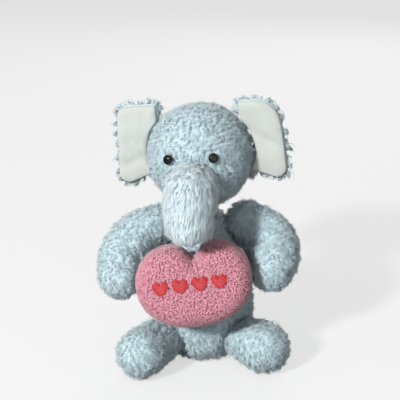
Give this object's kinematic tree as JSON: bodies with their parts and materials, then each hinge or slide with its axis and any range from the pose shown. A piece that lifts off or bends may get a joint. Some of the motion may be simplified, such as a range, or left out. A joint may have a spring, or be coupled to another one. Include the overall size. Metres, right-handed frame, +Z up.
{
  "type": "stuffed elephant",
  "caption": "Seated long-pile plush elephant with a hanging trunk and lined ears, hugging a puffed heart pillow.",
  "frame": {"origin": "centre of the flat base panel the toy sits on, on the floor", "axes": "+Z up through the torso, -Y the way the toy faces, +X towards the toy's own left arm"},
  "size_m": [0.1855, 0.1781, 0.2485],
  "materials": {
    "plush": "pale blue-grey curly long-pile plush, pile about 6 mm",
    "ear_velour": "cream short-pile velour, softly creased",
    "pillow_boucle": "dusty pink looped boucle",
    "embroidery_thread": "red satin-stitch thread",
    "eye_plastic": "polished black safety eye",
    "washer_plastic": "natural plastic lock washer",
    "stuffing": "white polyester fibre fill",
    "pellet_cloth": "plain cotton bag of plastic pellets"
  },
  "bodies": {
    "arm_left": {"arm_left_lower_panel": "plush", "arm_left_stuffing": "stuffing", "arm_left_upper_panel": "plush"},
    "arm_right": {"arm_right_lower_panel": "plush", "arm_right_stuffing": "stuffing", "arm_right_upper_panel": "plush"},
    "ear_left": {"ear_left_back": "plush", "ear_left_lining": "ear_velour"},
    "ear_right": {"ear_right_back": "plush", "ear_right_lining": "ear_velour"},
    "head": {"eye_left": "eye_plastic", "eye_right": "eye_plastic", "eye_washer_left": "washer_plastic", "eye_washer_right": "washer_plastic", "head_gusset": "plush", "head_left_panel": "plush", "head_right_panel": "plush", "head_stuffing": "stuffing"},
    "leg_left": {"leg_left_lower_panel": "plush", "leg_left_stuffing": "stuffing", "leg_left_upper_panel": "plush"},
    "leg_right": {"leg_right_lower_panel": "plush", "leg_right_stuffing": "stuffing", "leg_right_upper_panel": "plush"},
    "neck": {"neck_skin": "plush", "neck_stuffing": "stuffing"},
    "torso": {"pellet_bag": "pellet_cloth", "pillow_tack": "embroidery_thread", "torso_back_panel": "plush", "torso_base_panel": "plush", "torso_front_panel": "plush", "torso_stuffing": "stuffing"},
    "pillow": {"pillow_back_panel": "pillow_boucle", "pillow_embroidery": "embroidery_thread", "pillow_front_panel": "pillow_boucle", "pillow_stuffing": "stuffing"},
    "tail": {"tail": "plush"},
    "trunk": {"trunk_bottom_panel": "plush", "trunk_stuffing": "stuffing", "trunk_top_panel": "plush"}
  },
  "joints": [
    {"name": "head_turn", "type": "hinge", "parent": "torso", "child": "neck", "pos_m": [-0.002, -0.001, 0.148], "axis": [0, 0, 1], "range_deg": [-25, 25], "stiffness_Nm_per_rad": 0.6},
    {"name": "head_nod", "type": "hinge", "parent": "neck", "child": "head", "pos_m": [-0.002, -0.001, 0.148], "axis": [-0.9847, 0.1743, 0], "range_deg": [-5, 12], "stiffness_Nm_per_rad": 0.8},
    {"name": "trunk_lift", "type": "hinge", "parent": "head", "child": "trunk", "pos_m": [-0.01003, -0.05347, 0.17933], "axis": [-0.9811, 0.1736, -0.0858], "range_deg": [0, 20], "stiffness_Nm_per_rad": 0.2},
    {"name": "ear_left_flap", "type": "hinge", "parent": "head", "child": "ear_left", "pos_m": [0.05023, -0.00933, 0.19966], "axis": [0.0872, 0, -0.9962], "range_deg": [-25, 45], "stiffness_Nm_per_rad": 0.04},
    {"name": "ear_right_flap", "type": "hinge", "parent": "head", "child": "ear_right", "pos_m": [-0.05415, 0.00915, 0.19052], "axis": [-0.0872, 0, 0.9962], "range_deg": [-25, 45], "stiffness_Nm_per_rad": 0.04},
    {"name": "arm_left_swing", "type": "hinge", "parent": "torso", "child": "arm_left", "pos_m": [0.04, -0.005, 0.131], "axis": [0, 0, 1], "range_deg": [0, 22], "stiffness_Nm_per_rad": 0.25},
    {"name": "arm_right_swing", "type": "hinge", "parent": "torso", "child": "arm_right", "pos_m": [-0.043, -0.005, 0.128], "axis": [0, 0, -1], "range_deg": [0, 45], "stiffness_Nm_per_rad": 0.25},
    {"name": "leg_left_splay", "type": "hinge", "parent": "torso", "child": "leg_left", "pos_m": [0.038, -0.032, 0.024], "axis": [0, 0, 1], "range_deg": [-6, 20], "stiffness_Nm_per_rad": 0.25},
    {"name": "leg_right_splay", "type": "hinge", "parent": "torso", "child": "leg_right", "pos_m": [-0.038, -0.032, 0.0235], "axis": [0, 0, -1], "range_deg": [-6, 28], "stiffness_Nm_per_rad": 0.25},
    {"name": "pillow_rock", "type": "hinge", "parent": "torso", "child": "pillow", "pos_m": [-0.01051, -0.04495, 0.10904], "axis": [-0.9903, -0.0194, -0.1378], "range_deg": [0, 12], "stiffness_Nm_per_rad": 0.25},
    {"name": "tail_lift", "type": "hinge", "parent": "torso", "child": "tail", "pos_m": [0, 0.05, 0.042], "axis": [1, 0, 0], "range_deg": [0, 70], "stiffness_Nm_per_rad": 0.01}
  ]
}
